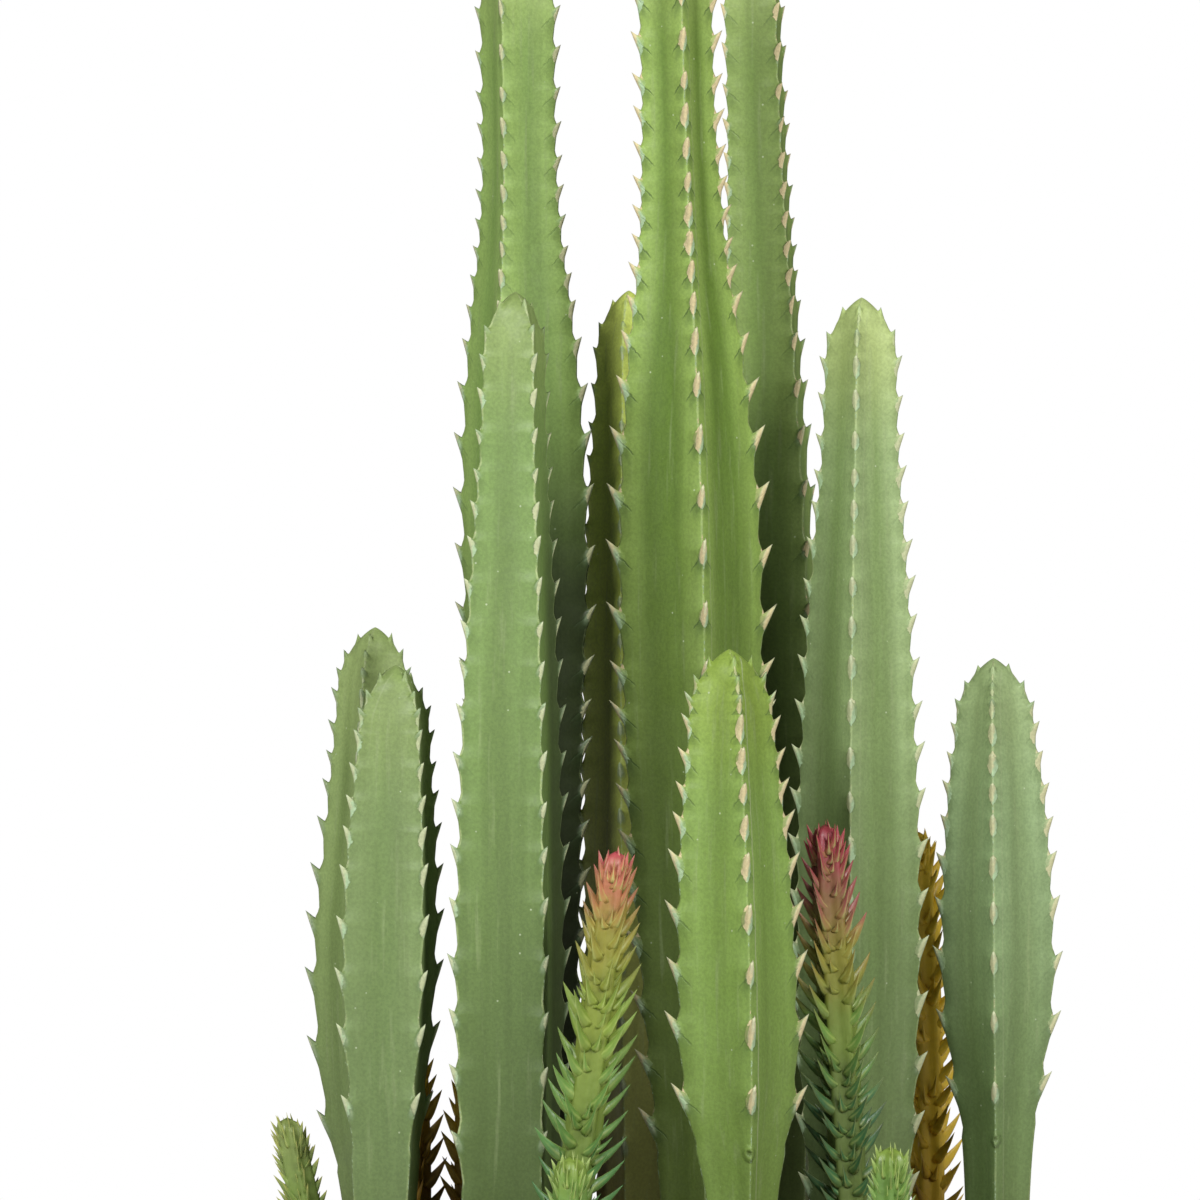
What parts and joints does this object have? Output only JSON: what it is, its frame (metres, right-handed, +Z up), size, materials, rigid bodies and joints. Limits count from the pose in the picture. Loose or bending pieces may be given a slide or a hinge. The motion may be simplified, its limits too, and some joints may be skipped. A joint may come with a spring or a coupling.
{
  "type": "potted fairy castle cactus",
  "caption": "Upright ribbed cactus columns with toothed ribs and low leafy shoots, growing from soil in a plain round clay pot that stands on its flat base.",
  "frame": {"origin": "centre of the pot's flat base, on the surface that it stands on", "axes": "+Z up along the stems, -Y towards the side that the picture shows, +X to the right there"},
  "size_m": [0.31, 0.31, 0.715],
  "materials": {
    "clay": "matte",
    "soil": "matte",
    "column_flesh": "satin",
    "pink_shoot_flesh": "satin",
    "green_shoot_flesh": "satin",
    "bronze_shoot_flesh": "satin"
  },
  "bodies": {
    "root": {"pot": "clay", "soil": "soil", "column_tall_left": "column_flesh", "column_tall_centre": "column_flesh", "column_tall_right": "column_flesh", "column_middle_left": "column_flesh", "column_middle_rear": "column_flesh", "column_middle_right": "column_flesh", "column_short_front": "column_flesh", "column_short_left_rear": "column_flesh", "column_short_left_front": "column_flesh", "column_short_right": "column_flesh", "shoot_pink_centre": "pink_shoot_flesh", "shoot_pink_right": "pink_shoot_flesh", "shoot_green_far_left": "green_shoot_flesh", "shoot_green_right": "green_shoot_flesh", "shoot_green_centre": "green_shoot_flesh", "shoot_bronze_right": "bronze_shoot_flesh", "shoot_bronze_left": "bronze_shoot_flesh", "shoot_bronze_inner": "bronze_shoot_flesh"}
  },
  "joints": []
}
